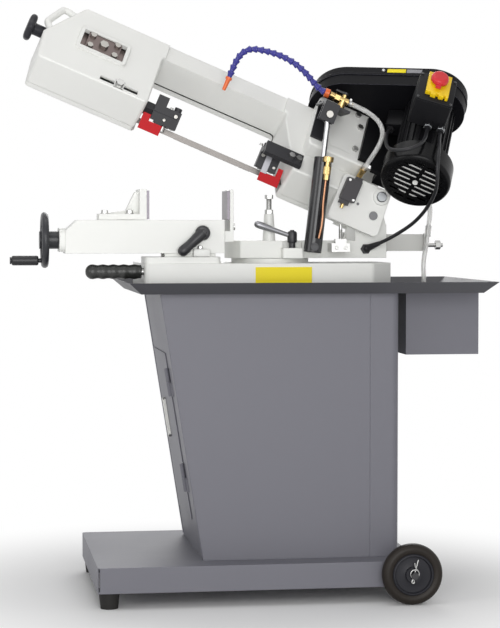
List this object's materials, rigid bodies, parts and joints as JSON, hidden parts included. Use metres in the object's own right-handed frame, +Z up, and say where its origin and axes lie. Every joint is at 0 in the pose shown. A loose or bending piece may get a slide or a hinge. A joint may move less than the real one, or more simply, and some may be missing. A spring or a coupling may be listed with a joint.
{
  "type": "metal cutting band saw",
  "caption": "Metal cutting band saw on a wheeled cabinet stand: pivoting bow with coolant hose and motor, swivel arm, vise with handwheel, down-feed cylinder and chip tray.",
  "frame": {"origin": "on the floor under the middle of the whole machine's length and depth", "axes": "+X towards the motor end, +Y away from the operator, +Z up"},
  "size_m": [1.0896, 0.65, 1.3481],
  "materials": {
    "white_casting": "satin paint",
    "white_iron": "satin paint",
    "grey_sheet": "textured powder coat",
    "tray_sheet": "textured powder coat",
    "black_metal": "satin black paint",
    "black_plastic": "matt",
    "rubber": "matt",
    "steel": "machined",
    "chrome": "polished",
    "brass": "turned",
    "red": "gloss paint",
    "red_plastic": "gloss",
    "yellow": "gloss",
    "blue_plastic": "satin",
    "clear_hose": "clear",
    "cable": "satin",
    "grey_plastic": "matt"
  },
  "bodies": {
    "stand": {"plinth": "grey_sheet", "feet": "rubber", "wheel_axle": "steel", "cabinet_shell": "grey_sheet", "chip_tray": "tray_sheet", "coolant_tank": "grey_sheet", "coolant_pump": "black_plastic", "base_casting": "white_iron", "carry_bar": "rubber", "vise_bed": "white_iron", "fixed_jaw": "steel", "supply_hose": "clear_hose"},
    "wheel_near": {"wheel_near": "rubber"},
    "wheel_far": {"wheel_far": "rubber"},
    "door": {"cabinet_door": "grey_sheet"},
    "latch": {"door_latch": "black_plastic"},
    "vise_jaw": {"moving_jaw": "white_iron"},
    "vise_screw": {"vise_handwheel": "black_plastic"},
    "crank": {"crank_grip": "black_plastic"},
    "quick_lever": {"quick_lever": "black_metal"},
    "head": {"swivel_arm": "white_iron", "stop_bolts": "steel", "spring_bracket": "steel", "balance_spring": "steel"},
    "swivel_lever": {"swivel_lever": "black_metal"},
    "spring_rod": {"spring_rod": "steel"},
    "cylinder": {"cylinder_barrel": "black_metal", "flow_valve": "brass"},
    "rod": {"piston_rod": "chrome"},
    "bow": {"bow_casting": "white_casting", "pivot_pin": "steel", "saw_blade": "steel", "right_guide": "black_metal", "gearbox": "white_casting", "drive_belt": "rubber", "belt_guard": "black_plastic", "motor_body": "black_metal", "fan_cover": "black_plastic", "switch_box": "black_plastic", "stop_switch": "yellow", "limit_switch": "grey_plastic", "rod_clevis": "black_metal", "coolant_tap": "brass", "segmented_hose": "blue_plastic", "bow_hoses": "clear_hose", "motor_cable": "cable", "pump_cable": "cable"},
    "blade_cover": {"blade_cover": "white_casting"},
    "drive": {"drive_wheel": "steel"},
    "slide": {"tension_slide": "steel"},
    "idler": {"idler_wheel": "steel"},
    "knob": {"tension_knob": "black_plastic"},
    "left_guide": {"left_guide": "black_metal", "left_guard": "red"},
    "worm": {"worm_shaft": "steel"},
    "belt_cover": {"belt_cover": "black_plastic"},
    "rotor": {"motor_rotor": "steel"},
    "button": {"stop_button": "red_plastic"},
    "plunger": {"limit_plunger": "steel"},
    "tap": {"tap_lever": "red_plastic"}
  },
  "joints": [
    {"name": "wheel_near_spin", "type": "hinge", "parent": "stand", "child": "wheel_near", "pos_m": [0.3358, -0.2925, 0.0685], "axis": [0, 1, 0], "continuous": true},
    {"name": "wheel_far_spin", "type": "hinge", "parent": "stand", "child": "wheel_far", "pos_m": [0.3358, 0.2925, 0.0685], "axis": [0, 1, 0], "continuous": true},
    {"name": "door_swing", "type": "hinge", "parent": "stand", "child": "door", "pos_m": [-0.17033, -0.097, 0.37856], "axis": [-0.1576, 0, 0.9875], "range_deg": [0, 110]},
    {"name": "latch_turn", "type": "hinge", "parent": "door", "child": "latch", "pos_m": [-0.16331, 0.075, 0.36753], "axis": [-0.9875, 0, -0.1576], "range_deg": [0, 90]},
    {"name": "jaw_slide", "type": "slide", "parent": "stand", "child": "vise_jaw", "axis": [1, 0, 0], "range_m": [-0.02, 0.165]},
    {"name": "screw_turn", "type": "hinge", "parent": "stand", "child": "vise_screw", "pos_m": [-0.4668, -0.095, 0.811], "axis": [1, 0, 0], "continuous": true},
    {"name": "crank_spin", "type": "hinge", "parent": "vise_screw", "child": "crank", "pos_m": [-0.5108, -0.095, 0.765], "axis": [1, 0, 0], "continuous": true},
    {"name": "quick_lever_turn", "type": "hinge", "parent": "stand", "child": "quick_lever", "pos_m": [-0.1158, -0.15, 0.827], "axis": [0, 1, 0], "range_deg": [0, 80]},
    {"name": "head_swivel", "type": "hinge", "parent": "stand", "child": "head", "pos_m": [0.0612, 0, 0.77], "axis": [0, 0, 1], "range_deg": [-60, 0], "deforming": ["supply_hose"]},
    {"name": "swivel_lever_turn", "type": "hinge", "parent": "head", "child": "swivel_lever", "pos_m": [0.1008, -0.078, 0.81], "axis": [0, 0, 1], "range_deg": [0, 10]},
    {"name": "bow_lift", "type": "hinge", "parent": "head", "child": "bow", "pos_m": [0.2896, 0, 0.866], "axis": [0, 1, 0], "range_deg": [-23, 22], "deforming": ["bow_hoses", "pump_cable"]},
    {"name": "spring_push", "type": "slide", "parent": "head", "child": "spring_rod", "axis": [1, 0, 0], "range_m": [-0.02484, 0.02597], "deforming": ["balance_spring"]},
    {"name": "cylinder_tilt", "type": "hinge", "parent": "head", "child": "cylinder", "pos_m": [0.1432, -0.112, 0.795], "axis": [0, 1, 0], "range_deg": [-16.2, 15.5]},
    {"name": "rod_slide", "type": "slide", "parent": "cylinder", "child": "rod", "axis": [0.1175, 0, 0.9931], "range_m": [-0.0551, 0.0527]},
    {"name": "blade_cover_swing", "type": "hinge", "parent": "bow", "child": "blade_cover", "pos_m": [-0.11712, 0.12302, 1.18747], "axis": [0.9205, 0, -0.3907], "range_deg": [0, 80]},
    {"name": "motor_spin", "type": "hinge", "parent": "bow", "child": "rotor", "pos_m": [0.40058, -0.11199, 1.0302], "axis": [0.2993, 0.6428, 0.7051], "continuous": true},
    {"name": "worm_spin", "type": "hinge", "parent": "bow", "child": "worm", "pos_m": [0.22534, -0.0239, 1.02429], "axis": [0.2993, 0.6428, 0.7051], "continuous": true},
    {"name": "drive_spin", "type": "hinge", "parent": "bow", "child": "drive", "pos_m": [0.16754, 0.05271, 0.97899], "axis": [0.2512, -0.766, 0.5917], "continuous": true},
    {"name": "tension_travel", "type": "slide", "parent": "bow", "child": "slide", "axis": [0.9205, 0, -0.3907], "range_m": [0, 0.01], "deforming": ["saw_blade"]},
    {"name": "idler_spin", "type": "hinge", "parent": "slide", "child": "idler", "pos_m": [-0.34978, 0.05271, 1.19858], "axis": [0.2512, -0.766, 0.5917], "continuous": true},
    {"name": "knob_turn", "type": "hinge", "parent": "bow", "child": "knob", "pos_m": [-0.48439, 0.01762, 1.29479], "axis": [0.9205, 0, -0.3907], "range_deg": [-1, 2410]},
    {"name": "guide_slide", "type": "slide", "parent": "bow", "child": "left_guide", "axis": [0.9205, 0, -0.3907], "range_m": [0, 0.04]},
    {"name": "belt_cover_swing", "type": "hinge", "parent": "bow", "child": "belt_cover", "pos_m": [0.39731, 0.08007, 1.06073], "axis": [0.8542, -0.5099, 0.1022], "range_deg": [-100, 0]},
    {"name": "button_press", "type": "slide", "parent": "bow", "child": "button", "axis": [-0.0709, 0.752, -0.6554], "range_m": [0, 0.004], "stiffness_N_per_m": 600},
    {"name": "plunger_press", "type": "slide", "parent": "bow", "child": "plunger", "axis": [0.3907, 0, 0.9205], "range_m": [0, 0.004], "stiffness_N_per_m": 250},
    {"name": "tap_turn", "type": "hinge", "parent": "bow", "child": "tap", "pos_m": [0.23269, -0.04, 1.14654], "axis": [0.3907, 0, 0.9205], "range_deg": [0, 90]}
  ],
  "couplings": [
    {"joint": "spring_push", "follows": "bow_lift", "m_per_rad": -0.064435},
    {"joint": "cylinder_tilt", "follows": "bow_lift", "ratio": 0.7},
    {"joint": "rod_slide", "follows": "bow_lift", "m_per_rad": 0.137},
    {"joint": "worm_spin", "follows": "motor_spin", "ratio": 1},
    {"joint": "drive_spin", "follows": "motor_spin", "ratio": 0.033333},
    {"joint": "idler_spin", "follows": "motor_spin", "ratio": 0.033333},
    {"joint": "knob_turn", "follows": "tension_travel", "rad_per_m": 4188.8}
  ]
}
